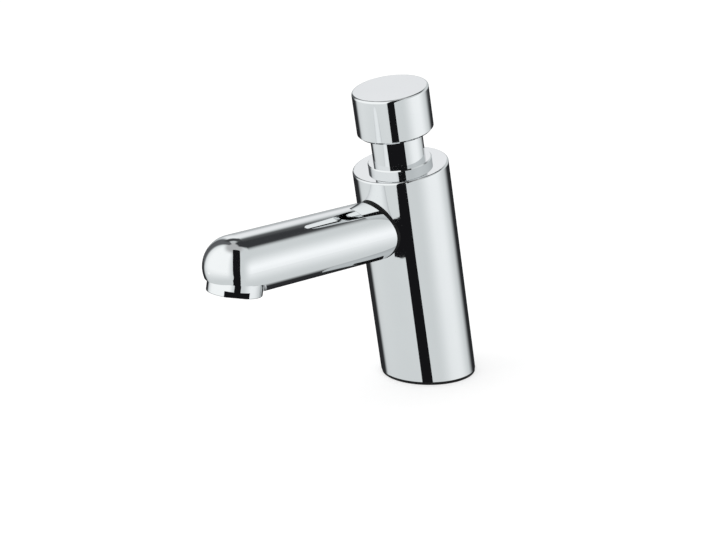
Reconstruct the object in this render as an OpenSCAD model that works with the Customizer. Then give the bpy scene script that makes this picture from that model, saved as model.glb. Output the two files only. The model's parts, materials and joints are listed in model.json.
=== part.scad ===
// Push timed tap for a basin deck. Pressing the cap opens the valve, and a dashpot closes it again.
// Millimetres. The origin is the middle of the base on the deck plane, +Z is up, the spout points to -Y.

/* [Column] */
// Diameter of the leaning column
body_d = 48; // [46:0.5:54]
// Lean of the column towards the spout, in degrees
lean = 10.5; // [8:0.5:13]
// Length of the column along its axis, from the deck plane to its top face
body_len = 114.5; // [110:0.5:124]
// Wall round the water chamber
body_wall = 4; // [3.5:0.25:4.5]
// Rounding of the column's top edge
body_round = 1; // [0.4:0.1:2]
// Depth of the bonnet's seat in the top of the column
rim_len = 14; // [13:0.5:15]
// Depth of the recess in the column's underside
recess_depth = 10; // [6:0.5:11]
// Wall left outside that recess
recess_wall = 4.5; // [4:0.25:6]
// Wall left inside it, round the shank
shank_wall = 4; // [3:0.25:5]

/* [Spout] */
// Outer diameter of the spout and of its ball end
spout_d = 30; // [28.5:0.5:31]
// Where the spout's axis meets the column's axis, along the column
spout_height = 83.5; // [80:0.5:85]
// Reach from the column's axis to the middle of the ball end
spout_reach = 111.5; // [95:0.5:140]
// Diameter of the water passage along the spout
passage_d = 21; // [18:0.5:22]
// Diameter of the spigot that screws into the column
spigot_d = 22; // [20.5:0.5:22.5]
// Bore of that spigot
spigot_bore = 16; // [12:0.5:16.5]
// Wall of the boss in the column that takes the spigot
port_wall = 3; // [2.5:0.25:3.5]
// Thickness of the saddle gasket between the spout and the column
saddle_t = 1.8; // [1:0.1:2]
// Step of that gasket inside the spout's outline
saddle_inset = 0.1; // [0.1:0.1:0.5]

/* [Outlet] */
// Forward tilt of the outlet, in degrees
outlet_tilt = 9.5; // [4:0.5:11]
// Distance of the outlet's axis behind the middle of the ball end
outlet_back = 2; // [1:0.25:2.5]
// Depth of the outlet's rim below the middle of the ball end
outlet_depth = 13.3; // [12.5:0.1:16]
// Depth of the flat that the aerator seats on
spot_depth = 6.8; // [6:0.1:7.2]
// Diameter of that flat
spot_d = 30; // [28:0.5:32]
// Diameter of the link from the passage to the outlet
link_d = 11; // [9:0.5:11.5]
// Outer diameter of the aerator
aerator_d = 26.8; // [26:0.1:27.4]
// Width of the aerator across its two spanner flats
aerator_af = 24; // [23.4:0.1:25.6]
// Height of those flats
aerator_flat_h = 3; // [2:0.25:4]
// Turn of those flats about the outlet, in degrees
aerator_turn = 34; // [-180:1:180]
// Rounding of the aerator's lower edge
aerator_round = 0.5; // [0.3:0.1:1]
// Diameter of the aerator's thread
thread_d = 24; // [22.5:0.1:24]
// Length of the aerator's thread
thread_len = 5; // [4.5:0.25:5.5]
// Bore of the aerator
aerator_bore = 20.8; // [20:0.1:21]
// Thickness of the aerator's washer
aerator_washer_t = 1.2; // [1:0.1:1.6]
// Thickness of the screen under that washer
screen_t = 0.4; // [0.3:0.05:0.6]
// Height of the honeycomb in the outlet
honeycomb_h = 2.5; // [2:0.25:4]

/* [Cap] */
// Diameter of the push cap
cap_d = 38; // [36.5:0.5:42]
// Height of the push cap
cap_h = 22.5; // [22:0.5:28]
// Gap between the column's top face and the cap at rest
cap_gap = 18; // [16:0.5:20]
// Travel of the cap
stroke = 8; // [6:0.5:8.5]
// Wall of the cap's skirt
cap_wall = 2.5; // [2:0.1:3]
// Thickness of the cap's top
cap_top = 3.2; // [2.5:0.1:3.5]
// Rounding of the cap's upper edge
cap_round = 1.2; // [0.5:0.1:2]
// Chamfer of the cap's lower edge
cap_chamfer = 1.1; // [0.5:0.1:1.5]
// Diameter of the hub in the cap
hub_d = 14; // [12:0.5:16]
// Diameter of the grub screw that locks the cap
grub_d = 4; // [3:0.5:4]
// Length of that screw
grub_len = 10; // [6:0.5:12]

/* [Bonnet] */
// Diameter of the neck
neck_d = 26.8; // [25:0.2:28]
// Width of the neck across its four spanner flats
neck_af = 25.4; // [24:0.1:25.6]
// How far the neck reaches up inside the cap at rest
neck_cover = 4.5; // [3:0.25:5]
// Diameter of the collar on the column's top face
collar_d = 32; // [31.5:0.5:36]
// Height of that collar
collar_h = 3; // [2:0.25:5]
// Wall of the bonnet's skirt round the sleeve
skirt_wall = 1.95; // [1.5:0.05:2.1]
// Length of the sleeve inside the skirt
socket_len = 6; // [5:0.25:7]
// Diameter of the bush that guides the spindle
bush_d = 15; // [14.5:0.25:16]
// Diameter of the gland that holds the spindle's seals
gland_d = 16; // [15:0.5:18]
// Depth of that gland
gland_depth = 5.6; // [5:0.2:7]

/* [Cartridge] */
// Bore of the dashpot sleeve
sleeve_bore = 21; // [20:0.25:21]
// Wall of that sleeve
sleeve_wall = 2.5; // [2.25:0.05:2.5]
// Step of the sleeve's foot flange
flange_step = 1; // [0.7:0.1:1.2]
// Thickness of the sleeve's foot flange
flange_t = 2; // [1.5:0.25:3]
// Number of outlet windows in the sleeve
windows = 6; // [4:1:8]
// Width of a window
window_w = 6; // [4:0.5:6]
// Thickness of the valve seat
seat_t = 6; // [5:0.5:8]
// Diameter of the seat's opening
orifice_d = 13; // [11:0.5:13]
// Height of the seat's raised lip
lip_h = 0.8; // [0.5:0.1:1]
// Width of the ledge that the seat rests on
ledge_w = 2.5; // [2:0.25:3]
// Water gap round the valve head
head_gap = 2.2; // [1.8:0.1:2.6]
// Height of the valve head's holder
holder_h = 5.4; // [5:0.2:8]
// Depth of the washer's recess in the holder
washer_sunk = 2.2; // [1.6:0.1:2.4]
// Height of the washer above the holder's rim
washer_proud = 0.8; // [0.5:0.1:1.5]
// Height of the piston
piston_h = 8; // [7.5:0.25:10]
// Thickness of the piston's flange
piston_flange_t = 2.2; // [1.8:0.1:3]
// Diameter of the piston's hub
piston_hub_d = 14.6; // [14.4:0.1:15]
// Distance of the piston below the sleeve's upper end at rest
piston_drop = 3; // [2:0.25:4]
// Diameter of the metering needle
needle_d = 1; // [0.8:0.05:1.1]
// Diameter of the piston's bleed hole
bleed_d = 1.5; // [1.4:0.05:1.6]
// Distance of needle and bleed hole from the spindle's axis
needle_at = 5.8; // [5.7:0.05:6]

/* [Spindle] */
// Diameter of the spindle in its bush
rod_d = 8; // [7:0.25:8.5]
// Diameter of the stem through piston and valve head
stem_d = 5; // [4:0.25:5.5]
// Diameter of the stud in the cap's hub
stud_d = 6; // [5:0.25:6.5]
// Width of the holder's nut across its flats
stem_nut_af = 8; // [7.5:0.5:9]
// Height of that nut
stem_nut_h = 3.5; // [3:0.25:4]

/* [Spring] */
// Length of the spring at rest
spring_len = 15; // [14:0.5:20]
// Mean diameter of its coils
spring_d = 14.6; // [14.2:0.1:15.5]
// Diameter of its wire
wire_d = 1.3; // [1:0.05:1.4]
// Number of its coils
coils = 5; // [4:0.5:5.5]

/* [Shank] */
// Diameter of the parallel pipe thread, half inch or three eighths
shank_d = 20.955; // [16.662, 20.955]
// Length of the shank below the deck plane
shank_len = 52; // [50:0.5:70]
// Length of the shank inside the column
shank_in = 13; // [11:0.5:14]
// Bore of the shank
shank_bore = 11; // [9:0.5:11]
// Diameter of the inlet hole under the valve
inlet_d = 12; // [10:0.5:12.5]
// Metal left between the shank and the valve pocket
floor_t = 3; // [2.5:0.25:4]
// Thickest deck that fits between gasket and washer
deck_gap = 21.5; // [15:0.5:22]
// Width of the relief groove under the back nut
relief_w = 1.5; // [1:0.25:2]
// Depth of that groove
relief_depth = 1.1; // [0.8:0.1:1.2]

/* [Fixing] */
// Thickness of the base gasket
gasket_t = 1.6; // [1:0.1:2.5]
// Step of the base gasket inside the column's outline
gasket_inset = 0.3; // [0.1:0.1:1]
// Diameter of the rubber deck washer
deck_washer_d = 44; // [38:1:50]
// Thickness of the rubber deck washer
deck_washer_t = 3; // [2:0.25:3.5]
// Diameter of the clamp washer
clamp_washer_d = 42; // [36:1:48]
// Thickness of the clamp washer
clamp_washer_t = 1.5; // [1:0.25:2]
// Width of the back nut across its flats
nut_af = 30; // [27:1:32]
// Height of the back nut
nut_h = 8; // [6:0.5:8.5]
// Height of the inlet strainer
strainer_h = 12; // [10:0.5:13]
// Diameter of the strainer's cup
strainer_d = 12.6; // [12:0.1:12.8]
// Diameter of the strainer's rim
strainer_rim_d = 14.4; // [14:0.1:14.6]
// Thickness of the strainer's rim
strainer_rim_t = 1.5; // [1:0.1:2]
// Height of the flow regulator
regulator_h = 4; // [3:0.25:5]

/* [Fits] */
// Gap between pieces that are fixed to each other
fit_gap = 0.05; // [0.03:0.01:0.08]
// Gap round pieces that slide
run_gap = 0.06; // [0.04:0.01:0.1]
// Gap round pieces that pass without touching
free_gap = 0.3; // [0.2:0.05:0.4]
// Gap left at the end of the cap's travel
stop_gap = 0.8; // [0.5:0.1:1]
// Section of the sealing rings
ring_d = 1.45; // [1.3:0.05:1.5]
// Spare width of a ring's groove
ring_room = 0.5; // [0.3:0.1:0.6]

/* [Hidden] */
$fn = 96;

chrome = [0.84, 0.86, 0.88];
brass = [0.80, 0.64, 0.33];
steel = [0.66, 0.67, 0.69];
rubber = [0.09, 0.09, 0.10];
white_plastic = [0.92, 0.92, 0.90];
grey_plastic = [0.45, 0.47, 0.50];

// Radii of the pieces round the column's axis, from the sleeve outwards
body_r = body_d / 2;
dash_r = sleeve_bore / 2;
sleeve_r = dash_r + sleeve_wall;
socket_r = sleeve_r + fit_gap;
skirt_r = socket_r + skirt_wall;
rim_r = skirt_r + fit_gap;
seat_r = sleeve_r + flange_step;
seat_bore_r = seat_r + fit_gap;
pocket_r = seat_r - ledge_w;
holder_r = pocket_r - head_gap;
chamber_r = body_r - body_wall;
holder_lip = 0.7;
washer_r = holder_r - holder_lip - fit_gap;
orifice_r = orifice_d / 2;
rod_r = rod_d / 2;
stem_r = stem_d / 2;
bush_r = bush_d / 2;
gland_r = gland_d / 2;
shank_r = shank_d / 2;
shank_hole_r = shank_r + fit_gap;

// Stations along the column's axis, from the shank upwards
shank_top = gasket_t + shank_in;
end_room = 0.5;
pocket_s = (shank_top + end_room + floor_t + pocket_r * sin(lean)) / cos(lean);
holder_s = pocket_s + spring_len;
washer_s = holder_s + holder_h - washer_sunk;
washer_t = washer_sunk + washer_proud;
washer_top = washer_s + washer_t;
seat_s = washer_top + fit_gap + lip_h;
sleeve_s = seat_s + seat_t;
rim_s = body_len - rim_len;
sleeve_top = rim_s + socket_len;
piston_top = sleeve_top - piston_drop;
piston_s = piston_top - piston_h;
ceiling_drop = 4.6;
ceiling_s = body_len - ceiling_drop;
neck_top = body_len + cap_gap + neck_cover;
gland_s = neck_top - gland_depth;
bush_lip = 1.5;
bush_top = gland_s - bush_lip;
cap_s = body_len + cap_gap;
hub_s = neck_top + stroke + stop_gap;
cap_ceiling = cap_s + cap_h - cap_top;
grub_s = (hub_s + cap_ceiling) / 2;
stud_end = 0.8;

// Rings lie in grooves that leave them a fit gap inside and outside
groove_w = ring_d + ring_room;
function ring_mid(bore_r) = bore_r - fit_gap - ring_d / 2;
function ring_floor(bore_r) = bore_r - 2 * fit_gap - ring_d;
bonnet_ring_cover = 1.8;
sleeve_ring_cover = 1.5;
bonnet_ring_s = body_len - bonnet_ring_cover - groove_w;
sleeve_ring_s = sleeve_top - sleeve_ring_cover - groove_w;
seat_ring_s = seat_s + (seat_t - groove_w) / 2;
shank_ring_z = gasket_t + (shank_in - groove_w) / 2;

// Spout and outlet
spout_r = spout_d / 2;
spigot_r = spigot_d / 2;
port_r = spigot_r + fit_gap;
spot_r = spot_d / 2;
saddle_in = body_r + fit_gap;
saddle_out = saddle_in + saddle_t;
spigot_end_r = rim_r + free_gap;
ring_cover = 0.8;
spout_ring_at = sqrt(body_r * body_r - port_r * port_r) / cos(lean) - ring_cover - groove_w;
outlet_wall = 3;
passage_end = spout_reach - outlet_back - spot_r - outlet_wall;
throat_len = 10;
throat_end = body_r + throat_len;
aerator_r = aerator_d / 2;
thread_r = thread_d / 2;
aerator_bore_r = aerator_bore / 2;
insert_r = aerator_bore_r - fit_gap;
thread_top = spot_depth - thread_len;
washer_seat = thread_top - screen_t - aerator_washer_t;
riser_top = 8.5;
riser_r = 9.3;
outlet_lip = 1;

// Stations below the deck plane
washer_z = -deck_gap - deck_washer_t;
clamp_z = washer_z - clamp_washer_t;
nut_z = clamp_z - nut_h;
relief_z = nut_z - end_room - relief_w;
strainer_top = -shank_len + strainer_h;
cup_r = strainer_d / 2;
strainer_bore_r = cup_r + fit_gap;
regulator_top = strainer_top + regulator_h;

// Local frames: +Z runs up the column, out along the spout, or down through the outlet
module on_column(s = 0) {
    rotate([lean, 0, 0])
        translate([0, 0, s])
            children();
}

module on_spout(d = 0) {
    translate([0, -spout_height * sin(lean), spout_height * cos(lean)])
        rotate([90, 0, 0])
            translate([0, 0, d])
                children();
}

module on_outlet(d = 0) {
    on_spout(spout_reach - outlet_back)
        rotate([90 - outlet_tilt, 0, 0])
            translate([0, 0, d])
                children();
}

// Shapes that repeat
module tube(r_out, r_in, h) {
    rotate_extrude()
        translate([r_in, 0])
            square([r_out - r_in, h]);
}

module seal_ring(bore_r) {
    rotate_extrude()
        translate([ring_mid(bore_r), groove_w / 2])
            circle(d = ring_d);
}

module ring_groove(bore_r) {
    tube(bore_r, ring_floor(bore_r), groove_w);
}

module rounded_profile(r, h, corner) {
    square([r - corner, h]);
    square([r, h - corner]);
    translate([r - corner, h - corner])
        circle(r = corner);
}

module hole_rings(rings, pitch, hole_d, h, sides) {
    for (i = [0 : rings])
        for (k = [0 : max(1, 6 * i) - 1])
            rotate(k * 360 / max(1, 6 * i))
                translate([i * pitch, 0, 0])
                    cylinder(d = hole_d, h = h, $fn = sides);
}

module hex_nut(af, h, bore_r, chamfer) {
    corner_r = af / 2 / cos(30);
    difference() {
        intersection() {
            cylinder(r = corner_r, h = h, $fn = 6);
            rotate_extrude()
                polygon([
                    [0, 0], [corner_r - chamfer, 0], [corner_r, chamfer],
                    [corner_r, h - chamfer], [corner_r - chamfer, h], [0, h]
                ]);
        }
        translate([0, 0, -h])
            cylinder(r = bore_r, h = 3 * h);
    }
}

// Flats are cut from a round piece of radius r, evenly round its axis, starting at the angle first
module flats(count, first, across, r, h) {
    for (i = [0 : count - 1])
        rotate(first + i * 360 / count)
            translate([across / 2, -r, 0])
                cube([r, 2 * r, h]);
}

// Column
module column_outside(r, z_low) {
    difference() {
        on_column(-body_d)
            rotate_extrude()
                rounded_profile(r, body_len + body_d, body_round);
        translate([-body_d, -body_d, z_low - 3 * body_d])
            cube([2 * body_d, 2 * body_d, 3 * body_d]);
    }
}

module chamber() {
    rotate_extrude()
        polygon([
            [0, pocket_s], [pocket_r, pocket_s], [pocket_r, seat_s], [seat_bore_r, seat_s],
            [seat_bore_r, sleeve_s + flange_t], [chamber_r, sleeve_s + flange_t + chamber_r - seat_bore_r],
            [chamber_r, rim_s - chamber_r + rim_r], [rim_r, rim_s], [rim_r, body_len + end_room], [0, body_len + end_room]
        ]);
}

module port_boss() {
    difference() {
        on_spout()
            cylinder(r = spigot_r + port_wall, h = body_d);
        on_column()
            cylinder(r = spigot_end_r, h = 2 * body_len);
    }
}

module body_casting() {
    color(chrome)
        difference() {
            column_outside(body_r, gasket_t);
            difference() {
                on_column()
                    chamber();
                port_boss();
            }
            on_spout()
                cylinder(r = port_r, h = body_d);
            on_column()
                cylinder(d = inlet_d, h = pocket_s + end_room);
            cylinder(r = shank_hole_r, h = shank_top + end_room);
            translate([0, 0, gasket_t - recess_depth])
                tube(body_r - recess_wall, shank_hole_r + shank_wall, 2 * recess_depth);
        }
}

module base_gasket() {
    color(rubber)
        intersection() {
            difference() {
                column_outside(body_r - gasket_inset, 0);
                translate([0, 0, -gasket_t])
                    cylinder(r = shank_r + free_gap, h = 3 * gasket_t);
            }
            translate([-body_d, -body_d, 0])
                cube([2 * body_d, 2 * body_d, gasket_t]);
        }
}

// Spout
module along_column(r) {
    on_column(-body_d)
        cylinder(r = r, h = body_len + 2 * body_d);
}

module spout_outside() {
    rotate_extrude()
        intersection() {
            union() {
                square([spout_r, spout_reach]);
                translate([0, spout_reach])
                    circle(r = spout_r);
            }
            square([spout_r, spout_reach + spout_r]);
        }
}

module spout() {
    color(chrome)
        difference() {
            union() {
                difference() {
                    on_spout()
                        spout_outside();
                    along_column(saddle_out + fit_gap);
                }
                difference() {
                    on_spout()
                        cylinder(r = spigot_r, h = throat_end);
                    along_column(spigot_end_r);
                }
            }
            on_spout()
                cylinder(d = spigot_bore, h = throat_end + end_room);
            on_spout(throat_end)
                cylinder(d = passage_d, h = passage_end - throat_end);
            on_spout(passage_end - end_room)
                translate([0, (link_d + end_room) / 2, 0])
                    cylinder(d = link_d, h = spout_reach - passage_end);
            on_spout(spout_ring_at)
                ring_groove(port_r);
            on_outlet(-riser_top)
                cylinder(r = riser_r, h = riser_top + spot_depth);
            on_outlet(washer_seat)
                cylinder(r = thread_r + fit_gap, h = spot_depth);
            on_outlet(spot_depth)
                cylinder(r = spot_r, h = 2 * spout_d);
        }
}

module saddle_gasket() {
    color(rubber)
        difference() {
            intersection() {
                on_spout()
                    cylinder(r = spout_r - saddle_inset, h = 2 * body_d);
                along_column(saddle_out);
            }
            along_column(saddle_in);
            on_spout()
                cylinder(r = port_r, h = 2 * body_d);
        }
}

module spout_o_ring() {
    color(rubber)
        on_spout(spout_ring_at)
            seal_ring(port_r);
}

// Outlet
module aerator_shell() {
    color(chrome)
        on_outlet()
            difference() {
                union() {
                    translate([0, 0, thread_top])
                        cylinder(r = thread_r, h = thread_len + end_room);
                    translate([0, 0, spot_depth + fit_gap])
                        rotate_extrude()
                            rounded_profile(aerator_r, outlet_depth - spot_depth - fit_gap, aerator_round);
                }
                cylinder(r = aerator_bore_r, h = outlet_depth - outlet_lip);
                cylinder(r = aerator_bore_r - outlet_lip, h = outlet_depth + end_room);
                translate([0, 0, outlet_depth - aerator_flat_h])
                    flats(2, aerator_turn, aerator_af, aerator_d, outlet_depth);
            }
}

module aerator_insert() {
    insert_len = outlet_depth - outlet_lip - fit_gap - thread_top;
    insert_wall = 1.3;
    cells = 4;
    cell_d = 1.9;
    color(grey_plastic)
        on_outlet(thread_top)
            difference() {
                cylinder(r = insert_r, h = insert_len);
                translate([0, 0, -end_room])
                    cylinder(r = insert_r - insert_wall, h = insert_len - honeycomb_h + end_room);
                hole_rings(cells, (insert_r - insert_wall) / (cells + 0.5), cell_d, 2 * insert_len, 6);
            }
}

module aerator_screen() {
    rings = 3;
    hole_d = 1.6;
    color(steel)
        on_outlet(thread_top - screen_t)
            difference() {
                cylinder(r = thread_r - free_gap, h = screen_t);
                translate([0, 0, -screen_t])
                    hole_rings(rings, insert_r / (rings + 1), hole_d, 3 * screen_t, 24);
            }
}

module aerator_washer() {
    color(rubber)
        on_outlet(washer_seat)
            tube(thread_r - free_gap, riser_r, aerator_washer_t);
}

// Bonnet and what it holds
module bonnet_profile() {
    edge = 0.5;
    rod_room = rod_r + free_gap;
    polygon([
        [socket_r, rim_s], [skirt_r, rim_s], [skirt_r, body_len], [collar_d / 2, body_len],
        [collar_d / 2, body_len + collar_h - edge], [collar_d / 2 - edge, body_len + collar_h],
        [neck_d / 2, body_len + collar_h], [neck_d / 2, neck_top - edge], [neck_d / 2 - edge, neck_top],
        [gland_r, neck_top], [gland_r, gland_s], [rod_room, gland_s], [rod_room, bush_top],
        [bush_r + fit_gap, bush_top], [bush_r + fit_gap, ceiling_s], [dash_r, ceiling_s],
        [dash_r, sleeve_top], [socket_r, sleeve_top]
    ]);
}

module bonnet() {
    spanner_flats = 4;
    flat_turn = 45;
    color(chrome)
        on_column()
            difference() {
                rotate_extrude()
                    bonnet_profile();
                translate([0, 0, bonnet_ring_s])
                    ring_groove(rim_r);
                translate([0, 0, body_len + collar_h])
                    flats(spanner_flats, flat_turn, neck_af, neck_d, neck_top);
            }
}

module bonnet_o_ring() {
    color(rubber)
        on_column(bonnet_ring_s)
            seal_ring(rim_r);
}

module guide_bush() {
    color(white_plastic)
        on_column(ceiling_s)
            difference() {
                tube(bush_r, rod_r + run_gap, bush_top - ceiling_s);
                translate([0, needle_at, -end_room])
                    cylinder(d = needle_d + 2 * fit_gap, h = bush_top - ceiling_s);
            }
}

module metering_needle() {
    color(steel)
        on_column(piston_top - stroke - piston_h / 2)
            translate([0, needle_at, 0])
                cylinder(d = needle_d, h = bush_top - piston_top + stroke + piston_h / 2 - 2 * end_room);
}

module spindle_seal() {
    seal_h = gland_depth / 2 - fit_gap;
    notch = 0.7;
    mid_r = (rod_r + gland_r) / 2;
    color(rubber)
        on_column(gland_s)
            rotate_extrude()
                polygon([
                    [rod_r + run_gap, 0], [mid_r - notch, 0], [mid_r, notch], [mid_r + notch, 0],
                    [gland_r - fit_gap, 0], [gland_r - fit_gap, seal_h], [mid_r + notch, seal_h],
                    [mid_r, seal_h - notch], [mid_r - notch, seal_h], [rod_r + run_gap, seal_h]
                ]);
}

module wiper_seal() {
    wiper_h = gland_depth / 2;
    lip = 1.1;
    color(rubber)
        on_column(gland_s + gland_depth / 2)
            rotate_extrude()
                polygon([
                    [rod_r + run_gap + lip, 0], [gland_r - fit_gap, 0], [gland_r - fit_gap, wiper_h - fit_gap],
                    [rod_r + run_gap + lip, wiper_h - fit_gap], [rod_r + run_gap, wiper_h - fit_gap],
                    [rod_r + run_gap, wiper_h / 2]
                ]);
}

// Cartridge
module window(length) {
    rotate([90, 0, 90])
        linear_extrude(2 * sleeve_r) {
            translate([-window_w / 2, window_w / 2])
                square([window_w, length - window_w]);
            translate([0, window_w / 2])
                circle(d = window_w);
            translate([0, length - window_w / 2])
                circle(d = window_w);
        }
}

module cartridge_sleeve() {
    window_s = sleeve_s + flange_t + window_w / 2;
    window_len = piston_s - stroke - window_w / 2 - window_s;
    color(white_plastic)
        on_column()
            difference() {
                union() {
                    translate([0, 0, sleeve_s])
                        cylinder(r = sleeve_r, h = sleeve_top - sleeve_s);
                    translate([0, 0, sleeve_s])
                        cylinder(r = seat_r, h = flange_t);
                }
                translate([0, 0, sleeve_s - end_room])
                    cylinder(r = dash_r, h = body_len);
                translate([0, 0, sleeve_ring_s])
                    ring_groove(socket_r);
                for (i = [0 : windows - 1])
                    rotate((i + 0.5) * 360 / windows)
                        translate([0, 0, window_s])
                            window(window_len);
            }
}

module sleeve_o_ring() {
    color(rubber)
        on_column(sleeve_ring_s)
            seal_ring(socket_r);
}

module valve_seat() {
    lip_w = 1.1;
    funnel = 2;
    color(brass)
        on_column()
            difference() {
                translate([0, 0, seat_s])
                    rotate_extrude()
                        polygon([
                            [orifice_r, -lip_h], [orifice_r + lip_w, -lip_h], [orifice_r + lip_w, 0], [seat_r, 0],
                            [seat_r, seat_t], [orifice_r + funnel, seat_t], [orifice_r, seat_t - funnel]
                        ]);
                translate([0, 0, seat_ring_s])
                    ring_groove(seat_bore_r);
            }
}

module seat_o_ring() {
    color(rubber)
        on_column(seat_ring_s)
            seal_ring(seat_bore_r);
}

// The spring is a swept wire: rings of six points, eight to a coil, flat for a quarter coil at each end
spring_sides = 6;
spring_steps = 8;
spring_flat = 0.25;
spring_rings = round(coils * spring_steps);
spring_half_h = wire_d / 2 * sin(60);
spring_rise = spring_len - 2 * fit_gap - 2 * spring_half_h;
spring_turns = spring_rings / spring_steps - 2 * spring_flat;
function spring_climb(turn) = min(1, max(0, (turn - spring_flat) / spring_turns));
function spring_z(turn) = fit_gap + spring_half_h + spring_rise * spring_climb(turn);
function spring_at(turn, r, z) = [r * cos(360 * turn), r * sin(360 * turn), z];
spring_path = [for (i = [0 : spring_rings])
    spring_at(i / spring_steps, spring_d / 2, spring_z(i / spring_steps))];
spring_points = [for (i = [0 : spring_rings]) for (k = [0 : spring_sides - 1])
    let (turn = i / spring_steps, b = 360 * k / spring_sides)
    spring_at(turn, spring_d / 2 + wire_d / 2 * cos(b), spring_z(turn) + wire_d / 2 * sin(b))];
spring_last = spring_rings * spring_sides;
spring_sides_a = [for (i = [0 : spring_rings - 1]) for (k = [0 : spring_sides - 1])
    let (n = (k + 1) % spring_sides)
    [i * spring_sides + k, i * spring_sides + n, (i + 1) * spring_sides + k]];
spring_sides_b = [for (i = [0 : spring_rings - 1]) for (k = [0 : spring_sides - 1])
    let (n = (k + 1) % spring_sides)
    [i * spring_sides + n, (i + 1) * spring_sides + n, (i + 1) * spring_sides + k]];
spring_caps = [for (k = [1 : spring_sides - 2]) each [
    [0, k + 1, k], [spring_last, spring_last + k, spring_last + k + 1]]];
spring_gaps = [for (i = [0 : spring_rings]) for (j = [i + spring_steps / 2 : spring_rings])
    norm(spring_path[i] - spring_path[j]) - wire_d];
echo(least_gap_of_the_spring_to_itself = min(spring_gaps));

module return_spring() {
    color(steel)
        on_column(pocket_s)
            polyhedron(spring_points, concat(spring_sides_a, spring_sides_b, spring_caps));
}

// Plunger: everything that travels with the cap
module push_cap() {
    skirt_in = cap_d / 2 - cap_wall;
    boss_w = 2 * grub_d;
    color(chrome)
        on_column()
            difference() {
                union() {
                    difference() {
                        translate([0, 0, cap_s])
                            rotate_extrude()
                                rounded_profile(cap_d / 2, cap_h, cap_round);
                        translate([0, 0, cap_s - end_room])
                            cylinder(r = skirt_in, h = cap_h - cap_top + end_room);
                    }
                    translate([0, 0, hub_s])
                        cylinder(d = hub_d, h = cap_ceiling - hub_s + end_room);
                    translate([-boss_w / 2, 0, hub_s])
                        cube([boss_w, skirt_in + cap_wall / 2, cap_ceiling - hub_s + end_room]);
                }
                translate([0, 0, cap_s])
                    rotate_extrude()
                        polygon([
                            [cap_d / 2 - cap_chamfer, 0], [cap_d / 2 + cap_chamfer, -cap_chamfer],
                            [cap_d / 2 + cap_chamfer, cap_chamfer], [cap_d / 2, cap_chamfer]
                        ]);
                translate([0, 0, hub_s - end_room])
                    cylinder(r = stud_d / 2 + fit_gap, h = cap_ceiling - hub_s + end_room);
                translate([0, 0, grub_s])
                    rotate([-90, 0, 0])
                        cylinder(r = grub_d / 2 + fit_gap, h = cap_d);
            }
}

module cap_grub_screw() {
    key_af = grub_d / 2;
    color(steel)
        on_column(grub_s)
            rotate([-90, 0, 0])
                translate([0, 0, stud_d / 2 + fit_gap])
                    difference() {
                        cylinder(d = grub_d, h = grub_len);
                        translate([0, 0, grub_len - key_af])
                            cylinder(d = key_af / cos(30), h = grub_len, $fn = 6);
                    }
}

clip_t = 0.6;
clip_groove_depth = 0.5;
clip_groove_r = stem_r - clip_groove_depth;

module spindle() {
    clamp_collar_w = 1.5;
    clamp_collar_h = 2;
    color(steel)
        on_column()
            difference() {
                union() {
                    translate([0, 0, holder_s - stem_nut_h - stud_end])
                        cylinder(r = stem_r, h = piston_top - holder_s + stem_nut_h + stud_end + end_room);
                    translate([0, 0, washer_top])
                        cylinder(r = stem_r + clamp_collar_w, h = clamp_collar_h);
                    translate([0, 0, piston_top])
                        cylinder(r = rod_r, h = hub_s - piston_top);
                    translate([0, 0, piston_top])
                        cylinder(d = stud_d, h = cap_ceiling - stud_end - piston_top);
                }
                translate([0, 0, piston_s - clip_t - fit_gap])
                    tube(rod_r, clip_groove_r, clip_t + fit_gap);
            }
}

module piston() {
    color(grey_plastic)
        on_column(piston_s)
            difference() {
                union() {
                    cylinder(r = dash_r - free_gap, h = piston_flange_t);
                    cylinder(d = piston_hub_d, h = piston_h);
                }
                translate([0, 0, -end_room])
                    cylinder(r = stem_r + fit_gap, h = 2 * piston_h);
                translate([0, needle_at, -end_room])
                    cylinder(d = bleed_d, h = 2 * piston_h);
            }
}

module piston_seal() {
    seal_in = piston_hub_d / 2 + fit_gap;
    seal_out = dash_r - run_gap;
    seal_drop = 1;
    seal_h = piston_h - piston_flange_t - seal_drop;
    web = 1.8;
    lip_in = 0.55;
    lip_out = 1.1;
    color(rubber)
        on_column(piston_s + piston_flange_t)
            rotate_extrude()
                polygon([
                    [seal_in, 0], [seal_out - run_gap, 0], [seal_out, seal_h - lip_in],
                    [seal_out - lip_in, seal_h], [seal_out - lip_out, web], [seal_in + lip_out, web],
                    [seal_in + lip_in, seal_h], [seal_in, seal_h - lip_in]
                ]);
}

module piston_clip() {
    mouth = 1.6 * clip_groove_r;
    rim_w = 1.6;
    color(steel)
        on_column(piston_s - clip_t - fit_gap / 2)
            difference() {
                tube(stem_r + rim_w, clip_groove_r + fit_gap, clip_t);
                translate([-mouth / 2, 0, -clip_t])
                    cube([mouth, 2 * stem_d, 3 * clip_t]);
            }
}

module valve_holder() {
    recess_z = holder_h - washer_sunk;
    color(brass)
        on_column(holder_s)
            rotate_extrude()
                polygon([
                    [stem_r + fit_gap, 0], [holder_r, 0], [holder_r, holder_h],
                    [holder_r - holder_lip, holder_h], [holder_r - holder_lip, recess_z],
                    [stem_r + fit_gap, recess_z]
                ]);
}

module valve_washer() {
    color(rubber)
        on_column(washer_s)
            tube(washer_r, stem_r + fit_gap, washer_t);
}

module holder_nut() {
    edge = 0.4;
    color(brass)
        on_column(holder_s - stem_nut_h)
            hex_nut(stem_nut_af, stem_nut_h, stem_r + fit_gap, edge);
}

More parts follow.
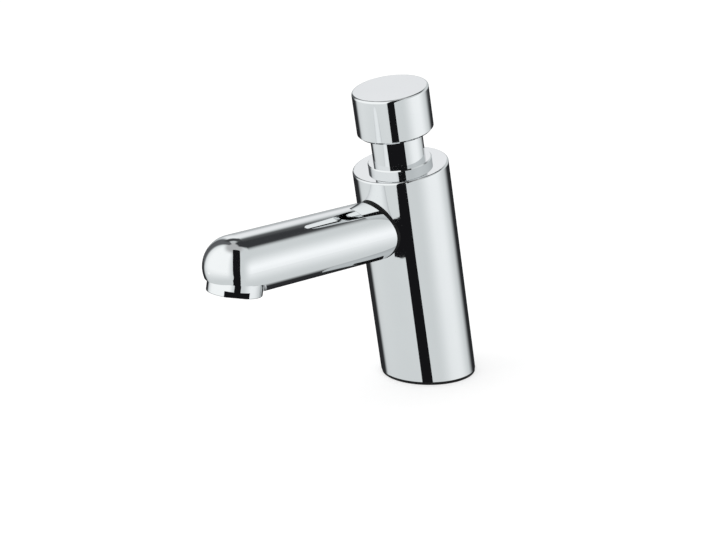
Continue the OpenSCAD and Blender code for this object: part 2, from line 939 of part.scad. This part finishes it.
// Below the deck
module shank() {
    edge = 0.8;
    color(brass)
        difference() {
            translate([0, 0, -shank_len])
                rotate_extrude()
                    polygon([
                        [0, 0], [shank_r - edge, 0], [shank_r, edge], [shank_r, relief_z + shank_len],
                        [shank_r - relief_depth, relief_z + shank_len],
                        [shank_r - relief_depth, relief_z + shank_len + relief_w],
                        [shank_r, relief_z + shank_len + relief_w],
                        [shank_r, shank_len + shank_top - edge], [shank_r - edge, shank_len + shank_top],
                        [0, shank_len + shank_top]
                    ]);
            translate([0, 0, -shank_len - end_room])
                cylinder(d = shank_bore, h = 2 * shank_len);
            translate([0, 0, -shank_len - end_room])
                cylinder(r = strainer_bore_r, h = regulator_top + shank_len + end_room);
            translate([0, 0, -shank_len - end_room])
                cylinder(r = strainer_rim_d / 2 + fit_gap, h = strainer_rim_t + end_room);
            translate([0, 0, shank_ring_z])
                ring_groove(shank_hole_r);
        }
}

module shank_o_ring() {
    color(rubber)
        translate([0, 0, shank_ring_z])
            seal_ring(shank_hole_r);
}

module deck_washer() {
    color(rubber)
        translate([0, 0, washer_z])
            tube(deck_washer_d / 2, shank_r + free_gap, deck_washer_t);
}

module clamp_washer() {
    color(steel)
        translate([0, 0, clamp_z])
            tube(clamp_washer_d / 2, shank_r + free_gap, clamp_washer_t);
}

module back_nut() {
    edge = 1.2;
    color(brass)
        translate([0, 0, nut_z])
            hex_nut(nut_af, nut_h, shank_r + fit_gap, edge);
}

module inlet_strainer() {
    cup_wall = 1;
    slots = 10;
    slot_w = 1.4;
    slot_margin = 1;
    slot_len = strainer_h - strainer_rim_t - cup_wall - 2 * slot_margin;
    rings = 2;
    color(white_plastic)
        translate([0, 0, -shank_len])
            difference() {
                union() {
                    cylinder(r = cup_r, h = strainer_h);
                    cylinder(d = strainer_rim_d, h = strainer_rim_t);
                }
                translate([0, 0, -end_room])
                    cylinder(r = cup_r - cup_wall, h = strainer_h - cup_wall + end_room);
                hole_rings(rings, cup_r / (rings + 1), slot_w, 2 * strainer_h, 24);
                for (i = [0 : slots - 1])
                    rotate(i * 360 / slots)
                        translate([0, -slot_w / 2, strainer_rim_t + slot_margin])
                            cube([strainer_d, slot_w, slot_len]);
            }
}

module flow_regulator() {
    ports = 8;
    port_d = 1.6;
    channel_out = 0.8 * cup_r;
    channel_in = 0.35 * cup_r;
    color(grey_plastic)
        translate([0, 0, strainer_top])
            difference() {
                cylinder(r = cup_r, h = regulator_h);
                translate([0, 0, regulator_h / 2])
                    tube(channel_out, channel_in, regulator_h);
                for (i = [0 : ports - 1])
                    rotate(i * 360 / ports)
                        translate([(channel_out + channel_in) / 2, 0, -end_room])
                            cylinder(d = port_d, h = 2 * regulator_h);
            }
}

body_casting();
spout();
saddle_gasket();
spout_o_ring();
aerator_shell();
aerator_insert();
aerator_screen();
aerator_washer();
bonnet();
bonnet_o_ring();
guide_bush();
spindle_seal();
wiper_seal();
metering_needle();
cartridge_sleeve();
sleeve_o_ring();
valve_seat();
seat_o_ring();
return_spring();
push_cap();
cap_grub_screw();
spindle();
piston();
piston_seal();
piston_clip();
valve_holder();
valve_washer();
holder_nut();
shank();
shank_o_ring();
base_gasket();
deck_washer();
clamp_washer();
back_nut();
inlet_strainer();
flow_regulator();
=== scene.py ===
import json
import math

import bmesh
import bpy
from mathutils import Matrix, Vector


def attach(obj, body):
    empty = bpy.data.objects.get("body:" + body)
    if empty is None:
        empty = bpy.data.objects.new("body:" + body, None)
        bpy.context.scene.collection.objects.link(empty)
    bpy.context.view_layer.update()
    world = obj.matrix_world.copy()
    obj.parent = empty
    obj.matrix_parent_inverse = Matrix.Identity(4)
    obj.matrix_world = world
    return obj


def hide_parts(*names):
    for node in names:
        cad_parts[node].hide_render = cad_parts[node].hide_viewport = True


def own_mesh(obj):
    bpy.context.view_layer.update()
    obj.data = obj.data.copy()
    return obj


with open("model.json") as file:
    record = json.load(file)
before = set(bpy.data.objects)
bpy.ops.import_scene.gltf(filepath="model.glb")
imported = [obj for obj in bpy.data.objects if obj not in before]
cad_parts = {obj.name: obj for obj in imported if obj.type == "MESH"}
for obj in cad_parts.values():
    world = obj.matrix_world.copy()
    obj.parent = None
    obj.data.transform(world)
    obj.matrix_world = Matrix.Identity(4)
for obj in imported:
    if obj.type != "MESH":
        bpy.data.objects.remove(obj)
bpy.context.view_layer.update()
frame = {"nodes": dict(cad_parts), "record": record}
nodes = frame["nodes"]
scene = bpy.context.scene

MM = 0.001
TURN = 2 * math.pi
LEAN = math.radians(10.5)
OUTLET_TILT = math.radians(9.5)
SPOUT_HEIGHT = 83.5 * MM
OUTLET_REACH = 109.5 * MM
COLUMN_WAY = Vector((0, -math.sin(LEAN), math.cos(LEAN)))
SPOUT_ROOT = COLUMN_WAY * SPOUT_HEIGHT
OUTLET_MIDDLE = SPOUT_ROOT - Vector((0, OUTLET_REACH, 0))

# Axes of the turned pieces: a point on the axis, and the turn that brings +Z onto it
DECK = ((0, 0, 0), (0, 0, 0))
COLUMN = ((0, 0, 0), (LEAN, 0, 0))
SPOUT = (tuple(SPOUT_ROOT), (math.pi / 2, 0, 0))
OUTLET = (tuple(OUTLET_MIDDLE), (math.pi - OUTLET_TILT, 0, 0))

# Nearly all of a noise lies between these two values
NOISE_SPAN = (0.3, 0.7)


class Graph:
    """A node tree with short calls. All but node and put return the output socket of what they add."""

    def __init__(self, tree):
        self.tree = tree
        tree.nodes.clear()

    def node(self, kind, **settings):
        made = self.tree.nodes.new(kind)
        for name, value in settings.items():
            setattr(made, name, value)
        return made

    def put(self, socket, value):
        """Links the socket to another socket, or sets it to a constant. None leaves it as it is."""
        if isinstance(value, bpy.types.NodeSocket):
            self.tree.links.new(value, socket)
        elif value is not None:
            socket.default_value = value

    def math(self, operation, a, b=None):
        made = self.node("ShaderNodeMath", operation=operation)
        self.put(made.inputs[0], a)
        self.put(made.inputs[1], b)
        return made.outputs[0]

    def ramp(self, value, low, high, start=0.0, end=1.0):
        """A smooth step from start, where value is low, to end, where it is high."""
        made = self.node("ShaderNodeMapRange", interpolation_type="SMOOTHSTEP")
        for socket, item in zip(made.inputs, (value, low, high, start, end)):
            self.put(socket, item)
        return made.outputs[0]

    def mix(self, share, a, b):
        made = self.node("ShaderNodeMix", data_type="RGBA")
        self.put(made.inputs[0], share)
        self.put(made.inputs[6], a)
        self.put(made.inputs[7], b)
        return made.outputs[2]

    def noise(self, place, scale, detail, rough=0.5):
        made = self.node("ShaderNodeTexNoise")
        self.put(made.inputs["Vector"], place)
        self.put(made.inputs["Scale"], scale)
        self.put(made.inputs["Detail"], detail)
        self.put(made.inputs["Roughness"], rough)
        return made.outputs[0]

    def place(self, axis=DECK, scale=(1, 1, 1)):
        """Object coordinates, in metres, in the axis's own frame, each multiplied by its scale."""
        coords = self.node("ShaderNodeTexCoord").outputs["Object"]
        made = self.node("ShaderNodeMapping", vector_type="TEXTURE")
        self.put(made.inputs["Vector"], coords)
        made.inputs["Location"].default_value, made.inputs["Rotation"].default_value = axis
        made.inputs["Scale"].default_value = [1 / factor for factor in scale]
        return made.outputs[0]

    def lathe(self, axis, pitch):
        """Fine lines round an axis, about pitch metres apart, on round faces and on end faces."""
        way = self.node("ShaderNodeSeparateXYZ")
        self.put(way.inputs[0], self.place(axis))
        x, y, z = way.outputs
        square = self.math("ADD", self.math("MULTIPLY", x, x), self.math("MULTIPLY", y, y))
        made = self.node("ShaderNodeTexNoise", noise_dimensions="1D")
        self.put(made.inputs["W"], self.math("ADD", z, self.math("SQRT", square)))
        made.inputs["Scale"].default_value = 1 / pitch
        made.inputs["Detail"].default_value = 3
        return made.outputs[0]

    def bump(self, height, strength, distance):
        made = self.node("ShaderNodeBump")
        self.put(made.inputs["Height"], height)
        self.put(made.inputs["Strength"], strength)
        self.put(made.inputs["Distance"], distance)
        return made.outputs[0]


def material(name, colour):
    """A new material, its graph, and the input sockets of its shader."""
    made = bpy.data.materials.new(name)
    made.use_nodes = True
    made.diffuse_color = (*colour, 1)
    graph = Graph(made.node_tree)
    out = graph.node("ShaderNodeOutputMaterial")
    shader = graph.node("ShaderNodeBsdfPrincipled")
    graph.put(out.inputs["Surface"], shader.outputs[0])
    return made, graph, shader.inputs


# Finishes
def chrome(name, axis):
    """Polished plate: a faint cloud in tone and gloss, and hairlines of the polishing wheel."""
    dark, light, rim = (0.86, 0.875, 0.885, 1), (0.90, 0.91, 0.915, 1), (0.72, 0.72, 0.73, 1)
    cloud_scale, least_rough, most_rough = 45, 0.022, 0.045
    hairline_pitch, hairline_span, hairline_rough = 0.35 * MM, (0.55, 0.8), 0.025
    hairline_bump, hairline_depth = 0.02, 0.01 * MM

    made, graph, sockets = material(name, (0.84, 0.86, 0.88))
    sockets["Metallic"].default_value = 1.0
    sockets["Specular Tint"].default_value = rim
    cloud = graph.noise(graph.place(), cloud_scale, detail=3)
    hairlines = graph.lathe(axis, hairline_pitch)
    graph.put(sockets["Base Color"], graph.mix(cloud, dark, light))
    haze = graph.ramp(cloud, *NOISE_SPAN, least_rough, most_rough)
    scratches = graph.ramp(hairlines, *hairline_span, 0.0, hairline_rough)
    graph.put(sockets["Roughness"], graph.math("ADD", haze, scratches))
    graph.put(sockets["Normal"], graph.bump(hairlines, hairline_bump, hairline_depth))
    return made


def turned(name, dark, light, stain, rough, axis, pitch):
    """Metal off the lathe: tool marks round the axis, tone that drifts, and small stains that dull it."""
    cloud_scale, stain_scale, stain_span = 110, 520, (0.56, 0.74)
    stain_share, stain_rough = 0.3, 0.12
    least_rough, most_rough = rough - 0.07, rough + 0.05
    mark_bump, mark_depth = 0.35, 0.04 * MM

    made, graph, sockets = material(name, light)
    sockets["Metallic"].default_value = 1.0
    marks = graph.lathe(axis, pitch)
    cloud = graph.noise(graph.place(), cloud_scale, detail=4, rough=0.6)
    stains = graph.ramp(graph.noise(graph.place(), stain_scale, detail=3, rough=0.6), *stain_span)
    tone = graph.mix(cloud, (*dark, 1), (*light, 1))
    stained = graph.mix(graph.math("MULTIPLY", stains, stain_share), tone, (*stain, 1))
    graph.put(sockets["Base Color"], stained)
    satin = graph.ramp(marks, *NOISE_SPAN, least_rough, most_rough)
    dulled = graph.math("ADD", satin, graph.math("MULTIPLY", stains, stain_rough))
    graph.put(sockets["Roughness"], dulled)
    graph.put(sockets["Normal"], graph.bump(marks, mark_bump, mark_depth))
    return made


def rubber():
    """Matt black rubber: a fine moulded grain and a grey bloom."""
    black, grey, shine = (0.004, 0.004, 0.0045, 1), (0.015, 0.015, 0.016, 1), 0.22
    bloom_scale, bloom_span = 95, (0.42, 0.75)
    grain_scale, least_rough, most_rough = 2600, 0.55, 0.78
    grain_bump, grain_depth = 0.3, 0.08 * MM

    made, graph, sockets = material("rubber", (0.012, 0.012, 0.013))
    grain = graph.noise(graph.place(), grain_scale, detail=3, rough=0.6)
    bloom = graph.noise(graph.place(), bloom_scale, detail=4, rough=0.6)
    graph.put(sockets["Base Color"], graph.mix(graph.ramp(bloom, *bloom_span), black, grey))
    graph.put(sockets["Roughness"], graph.ramp(grain, *NOISE_SPAN, least_rough, most_rough))
    sockets["Specular IOR Level"].default_value = shine
    graph.put(sockets["Normal"], graph.bump(grain, grain_bump, grain_depth))
    return made


def plastic(name, low, high, axis, through):
    """Moulded acetal: flow marks along the piece, a satin grain, and some light that passes into it."""
    flow_scale, flow_stretch, flow_span, flow_rough = 190, (1, 1, 0.25), (0.4, 0.7), 0.1
    grain_scale, least_rough, most_rough = 1900, 0.3, 0.42
    grain_bump, grain_depth = 0.18, 0.06 * MM

    made, graph, sockets = material(name, high)
    flow = graph.noise(graph.place(axis, flow_stretch), flow_scale, detail=4, rough=0.6)
    grain = graph.noise(graph.place(), grain_scale, detail=3, rough=0.55)
    graph.put(sockets["Base Color"], graph.mix(flow, (*low, 1), (*high, 1)))
    satin = graph.ramp(grain, *NOISE_SPAN, least_rough, most_rough)
    streaks = graph.ramp(flow, *flow_span, 0.0, flow_rough)
    graph.put(sockets["Roughness"], graph.math("ADD", satin, streaks))
    sockets["Subsurface Weight"].default_value = through
    sockets["Subsurface Radius"].default_value = (1.0 * MM, 0.8 * MM, 0.6 * MM)
    sockets["Subsurface Scale"].default_value = 0.6
    graph.put(sockets["Normal"], graph.bump(grain, grain_bump, grain_depth))
    return made


# Dark tone, light tone, stain and roughness of the metals, and both tones of the plastics
BRASS = ((0.66, 0.46, 0.19), (0.82, 0.62, 0.30), (0.42, 0.27, 0.11), 0.27)
STEEL = ((0.52, 0.53, 0.55), (0.68, 0.69, 0.71), (0.40, 0.40, 0.41), 0.26)
WHITE = ((0.80, 0.795, 0.76), (0.88, 0.88, 0.855))
GREY = ((0.30, 0.32, 0.35), (0.40, 0.42, 0.45))

FINISHES = {
    "chrome": chrome("chrome", COLUMN),
    "chrome_spout": chrome("chrome_spout", SPOUT),
    "chrome_outlet": chrome("chrome_outlet", OUTLET),
    "brass": turned("brass", *BRASS, COLUMN, pitch=0.3 * MM),
    "brass_deck": turned("brass_deck", *BRASS, DECK, pitch=0.4 * MM),
    "steel": turned("steel", *STEEL, COLUMN, pitch=0.22 * MM),
    "steel_deck": turned("steel_deck", *STEEL, DECK, pitch=0.5 * MM),
    "steel_outlet": turned("steel_outlet", *STEEL, OUTLET, pitch=0.3 * MM),
    "rubber": rubber(),
    "white_plastic": plastic("white_plastic", *WHITE, COLUMN, through=0.2),
    "grey_plastic": plastic("grey_plastic", *GREY, OUTLET, through=0.1),
}

# Nodes whose finish runs round another axis than their slot's. The others take the slot's own
OWN_FINISH = {
    "spout": "chrome_spout", "aerator_shell": "chrome_outlet", "aerator_screen": "steel_outlet",
    "shank": "brass_deck", "back_nut": "brass_deck", "clamp_washer": "steel_deck",
}


def dress(obj, finish):
    obj.data.materials.clear()
    obj.data.materials.append(FINISHES[finish])


for row in frame["record"]["subparts"]:
    dress(nodes[row["node"]], OWN_FINISH.get(row["node"], row["material_slot"]))


def metres(points):
    """Points given in millimetres, in metres."""
    return [tuple(value * MM for value in point) for point in points]


# Pieces that the solids only hint at, in millimetres: the shank's real thread and the spring's round wire
def piece(name, points, faces, node, finish):
    """A closed mesh that stands for a node of the tap's body, smooth but for its sharp edges."""
    sharp_angle = math.radians(40)
    mesh = bpy.data.meshes.new(name)
    mesh.from_pydata(metres(points), [], faces)
    work = bmesh.new()
    work.from_mesh(mesh)
    bmesh.ops.recalc_face_normals(work, faces=work.faces)
    work.to_mesh(mesh)
    work.free()
    mesh.polygons.foreach_set("use_smooth", [True] * len(mesh.polygons))
    mesh.set_sharp_from_angle(angle=sharp_angle)
    made = bpy.data.objects.new(name, mesh)
    scene.collection.objects.link(made)
    dress(made, finish)
    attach(made, "tap")
    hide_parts(node)
    return made


def ring_faces(rows, columns, closed):
    """Quads between neighbouring rings of points, and from the last ring to the first if closed."""
    pairs = [(i, (i + 1) % rows) for i in range(rows if closed else rows - 1)]
    return [
        (a * columns + k, a * columns + (k + 1) % columns, b * columns + (k + 1) % columns, b * columns + k)
        for a, b in pairs for k in range(columns)
    ]


def threaded_shank():
    """The shank with its G 1/2 thread, 14 turns to the inch, below the deck plane."""
    pitch, depth, crest, form_power = 25.4 / 14, 1.162, 10.4775, 0.85
    end, top, chamfer = -52.0, 14.6, 0.8
    relief_low, relief_high, relief_r = -36.0, -34.5, crest - 1.1
    thread_top, root_top, plain_start = 0.8, 1.2, 1.6
    groove_low, groove_high, groove_r = 7.125, 9.075, crest - 1.5
    bore_r, pocket_r, mouth_r = 5.5, 6.35, 7.25
    pocket_top, mouth_top = -36.0, -50.5
    rows_per_turn, columns = 16, 96

    def thread(z):
        """The radii round the shank at height z: rounded crests and roots, and a chamfer at the end."""
        most = crest - chamfer + (z - end)
        radii = []
        for k in range(columns):
            phase = (z / pitch - k / columns) * TURN
            form = 0.5 - 0.5 * math.cos(phase)
            radii.append(min(most, crest - depth * form ** form_power))
        return z, radii

    def threaded(low, high):
        count = round((high - low) / pitch * rows_per_turn)
        return [thread(low + (high - low) * i / count) for i in range(count + 1)]

    def plain(outline):
        return [(z, [r] * columns) for z, r in outline]

    relief = ((relief_low, relief_r), (relief_high, relief_r))
    upper = (
        (root_top, crest - depth), (plain_start, crest), (groove_low, crest), (groove_low, groove_r),
        (groove_high, groove_r), (groove_high, crest), (top - chamfer, crest), (top, crest - chamfer),
    )
    bore = (
        (top, bore_r), (pocket_top, bore_r), (pocket_top, pocket_r),
        (mouth_top, pocket_r), (mouth_top, mouth_r), (end, mouth_r),
    )
    rows = threaded(end, relief_low) + plain(relief)
    rows += threaded(relief_high, thread_top) + plain(upper + bore)
    angles = [TURN * k / columns for k in range(columns)]
    points = [(r * math.cos(a), r * math.sin(a), z) for z, radii in rows for r, a in zip(radii, angles)]
    faces = ring_faces(len(rows), columns, closed=True)
    return piece("shank_thread", points, faces, "shank", "brass_deck")


def coil_spring():
    """The return spring as round wire, its end turns laid flat."""
    foot, length, travel = 20.54, 15.0, 8.0
    coil_r, wire_r, coils, flat_turns, end_gap = 7.3, 0.65, 5.0, 0.25, 0.05
    steps, sides = 56, 16

    low, high = foot + end_gap + wire_r, foot + length - end_gap - wire_r
    lean_cos, lean_sin = math.cos(LEAN), math.sin(LEAN)
    last = round(coils * steps)
    points = []
    for i in range(last + 1):
        turn = i / steps
        climb = min(1.0, max(0.0, (turn - flat_turns) / (coils - 2 * flat_turns)))
        middle = low + (high - low) * climb
        for k in range(sides):
            angle = TURN * k / sides
            r, z = coil_r + wire_r * math.cos(angle), middle + wire_r * math.sin(angle)
            x, y = r * math.cos(TURN * turn), r * math.sin(TURN * turn)
            points.append((x, y * lean_cos - z * lean_sin, y * lean_sin + z * lean_cos))
    faces = ring_faces(last + 1, sides, closed=False)
    faces += [tuple(range(sides)), tuple(last * sides + k for k in range(sides))]
    made = piece("coil_spring", points, faces, "return_spring", "steel")
    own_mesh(made)


shank = threaded_shank()
coil_spring()

# The chrome mirrors the room through the floor, so what is below the deck is kept out of its mirror
BELOW_DECK = ("deck_washer", "clamp_washer", "back_nut", "inlet_strainer", "flow_regulator")
for obj in (shank, *(nodes[name] for name in BELOW_DECK)):
    obj.visible_glossy = False


# Floor, cards, camera, lamp and room
def stage_piece(name, points, faces, build):
    """A mesh of the stage, with the surface that build returns."""
    mesh = bpy.data.meshes.new(name)
    mesh.from_pydata(points, [], faces)
    finish = bpy.data.materials.new(name)
    finish.use_nodes = True
    graph = Graph(finish.node_tree)
    graph.put(graph.node("ShaderNodeOutputMaterial").inputs["Surface"], build(graph))
    mesh.materials.append(finish)
    made = bpy.data.objects.new(name, mesh)
    scene.collection.objects.link(made)
    return made


def one_sided(graph, shader):
    """The shader on the side that a face looks to, and nothing on its back."""
    made = graph.node("ShaderNodeMixShader")
    graph.put(made.inputs[0], graph.node("ShaderNodeNewGeometry").outputs["Backfacing"])
    graph.put(made.inputs[1], shader)
    graph.put(made.inputs[2], graph.node("ShaderNodeBsdfTransparent").outputs[0])
    return made.outputs[0]


def floor():
    """A white floor that glows a little, so that it runs into the background and still takes a shadow.
    From below it is clear, so that a view from there shows the tail and the tap above it."""
    reach, drop = 3.0, 0.05 * MM
    paint, light = (0.6, 0.6, 0.6, 1), (0.5, 0.5, 0.5, 1)

    def surface(graph):
        diffuse = graph.node("ShaderNodeBsdfDiffuse")
        diffuse.inputs["Color"].default_value = paint
        glow = graph.node("ShaderNodeEmission")
        glow.inputs["Color"].default_value = light
        both = graph.node("ShaderNodeAddShader")
        graph.put(both.inputs[0], diffuse.outputs[0])
        graph.put(both.inputs[1], glow.outputs[0])
        return one_sided(graph, both.outputs[0])

    corners = [(x * reach, y * reach, -drop) for x, y in ((-1, -1), (1, -1), (1, 1), (-1, 1))]
    made = stage_piece("floor", corners, [(0, 1, 2, 3)], surface)
    made.visible_glossy = False


def black_card(name, points, faces):
    """A black card that only mirrored rays see, from the side that its faces look to.
    Its points are in millimetres."""
    black = (0.008, 0.008, 0.009, 1)

    def surface(graph):
        glow = graph.node("ShaderNodeEmission")
        glow.inputs["Color"].default_value = black
        return one_sided(graph, glow.outputs[0])

    made = stage_piece(name, metres(points), faces, surface)
    made.visible_camera = False
    made.visible_diffuse = False
    made.visible_transmission = False
    made.visible_shadow = False


def flag():
    """The card that stands towards the camera, so that the chrome has its dark line.
    Each row is a height, and how far the card reaches to its left and to its right there."""
    rows = (
        (-700, -140, 200), (-280, -90, 108), (-190, -92, 92), (-150, -96, 84), (-110, -80, 84),
        (-50, -76, 72), (20, -86, 65), (100, -90, 64), (235, -91, 81), (445, -96, 130),
        (700, -104, 200), (950, -114, 280), (1600, -140, 480),
    )
    azimuth, distance = math.radians(48), 400
    start = Vector((0, -12, 0))
    away = Vector((math.sin(azimuth), -math.cos(azimuth), 0))
    side = Vector((math.cos(azimuth), math.sin(azimuth), 0))
    up = Vector((0, 0, 1))
    middle = start + away * distance
    points = [middle + side * reach + up * z for z, left, right in rows for reach in (left, right)]
    faces = [(2 * i + 2, 2 * i + 3, 2 * i + 1, 2 * i) for i in range(len(rows) - 1)]
    black_card("flag", points, faces)


def nose_flag():
    """A card low beside the spout that faces the column, so that the dark line reaches the spout's nose."""
    corners = ((26, 48), (110, 19), (114, -12), (22, 25))
    stand, slant = -93, -0.3
    points = [(x, stand + slant * x, z) for x, z in corners]
    black_card("nose_flag", points, [tuple(range(len(points)))])


def root_flag():
    """A card under the spout's root that faces the outlet, so that the spout's lower edge is dark there."""
    half = ((10.7, 69), (5.5, 54), (3, 40))
    stand, slant = -26.5, -math.tan(LEAN)
    outline = [(-x, z) for x, z in half] + [(x, z) for x, z in reversed(half)]
    points = [(x, stand + slant * z, z) for x, z in outline]
    black_card("root_flag", points, [tuple(range(len(points)))])


def camera():
    """The photograph's view: the point it looks at, from which side, how far off and how wide."""
    target = Vector((-24.30, -27.13, 53.42)) * MM
    azimuth, elevation, distance = math.radians(48.14), math.radians(17.56), 1100 * MM
    focal_pixels, width_pixels = 2162, 716

    data = bpy.data.cameras.new("camera")
    data.sensor_width = 36
    data.lens = data.sensor_width * focal_pixels / width_pixels
    data.clip_start, data.clip_end = 0.01, 50
    made = bpy.data.objects.new("camera", data)
    scene.collection.objects.link(made)
    flat = math.cos(elevation)
    back = Vector((math.sin(azimuth) * flat, -math.cos(azimuth) * flat, math.sin(elevation)))
    made.location = target + back * distance
    made.rotation_mode = "QUATERNION"
    made.rotation_quaternion = (-back).to_track_quat("-Z", "Y")
    scene.camera = made


def lamp():
    """One large soft lamp, high on the left. The chrome mirrors the room instead of it."""
    place, target = Vector((-0.5, -1.1, 1.3)), Vector((0, -0.03, 0.06))
    data = bpy.data.lights.new("key", "AREA")
    data.size = 1.2
    data.energy = 7
    made = bpy.data.objects.new("key", data)
    scene.collection.objects.link(made)
    made.location = place
    made.rotation_mode = "QUATERNION"
    made.rotation_quaternion = (target - place).to_track_quat("-Z", "Y")
    made.visible_glossy = False


def studio():
    """The room that the chrome mirrors, by direction, in degrees: azimuth from the spout's side
    towards +X, and elevation above the deck. Camera rays see white instead, and all others a pale grey."""
    white, pale = (1, 1, 1, 1), (0.87, 0.87, 0.87, 1)
    wall, ceiling, ceiling_span = (0.66, 0.69, 0.695, 1), (0.48, 0.485, 0.49, 1), (56, 72)

    world = bpy.data.worlds.new("studio")
    world.use_nodes = True
    scene.world = world
    graph = Graph(world.node_tree)
    way = graph.node("ShaderNodeSeparateXYZ")
    graph.put(way.inputs[0], graph.node("ShaderNodeTexCoord").outputs["Generated"])
    x, y, z = way.outputs
    degrees = math.degrees(1)
    forward = graph.math("MULTIPLY", y, -1.0)
    azimuth = graph.math("MULTIPLY", graph.math("ARCTAN2", x, forward), degrees)
    round_azimuth = graph.math("FLOORED_MODULO", azimuth, 360.0)
    elevation = graph.math("MULTIPLY", graph.math("ARCSINE", z), degrees)

    def window(value, a, b, c, d):
        """A rise from 0 at a to 1 at b, times a fall from 1 at c to 0 at d."""
        return graph.math("MULTIPLY", graph.ramp(value, a, b), graph.ramp(value, c, d, 1.0, 0.0))

    def zone(room, angle, sides, heights, tone):
        """The room, turned to tone where the angle and the elevation are inside their windows."""
        share = graph.math("MULTIPLY", window(angle, *sides), window(elevation, *heights))
        return graph.mix(share, room, (*tone, 1))

    room = wall
    # The light on the right, for the spout's side and the right of the column
    room = zone(room, round_azimuth, (80, 120, 134, 174), (-52, 5, -6, 37), (1.04, 1.06, 1.07))
    room = graph.mix(graph.ramp(elevation, *ceiling_span), room, ceiling)
    # The light in front, to the left
    room = zone(room, azimuth, (-95, -50, 25, 50), (-42, -2, 55, 75), (1.0, 1.02, 1.02))
    # The light that the flat tops mirror
    room = zone(room, round_azimuth, (212, 226, 242, 250), (10, 22, 38, 46), (0.99, 1.0, 1.01))
    # The dark outline of the ball
    room = zone(room, round_azimuth, (246, 254, 274, 288), (-12, -4, 72, 79), (0.12, 0.124, 0.13))
    # The dark outline of every upright side
    room = zone(room, round_azimuth, (166, 190, 270, 286), (-70, -60, -11, -3), (0.03, 0.031, 0.033))
    # The dark band on the spout, and its end on the ball
    room = zone(room, round_azimuth, (146, 164, 205, 225), (32, 52, 72, 80), (0.04, 0.042, 0.045))
    room = zone(room, round_azimuth, (195, 215, 252, 266), (40, 48, 57, 64), (0.06, 0.062, 0.065))

    path = graph.node("ShaderNodeLightPath")
    off_camera = graph.mix(path.outputs["Is Glossy Ray"], pale, room)
    background = graph.node("ShaderNodeBackground")
    graph.put(background.inputs["Color"], graph.mix(path.outputs["Is Camera Ray"], off_camera, white))
    out = graph.node("ShaderNodeOutputWorld")
    graph.put(out.inputs["Surface"], background.outputs[0])


floor()
camera()
studio()
flag()
nose_flag()
root_flag()
lamp()
scene.view_settings.view_transform = "Standard"
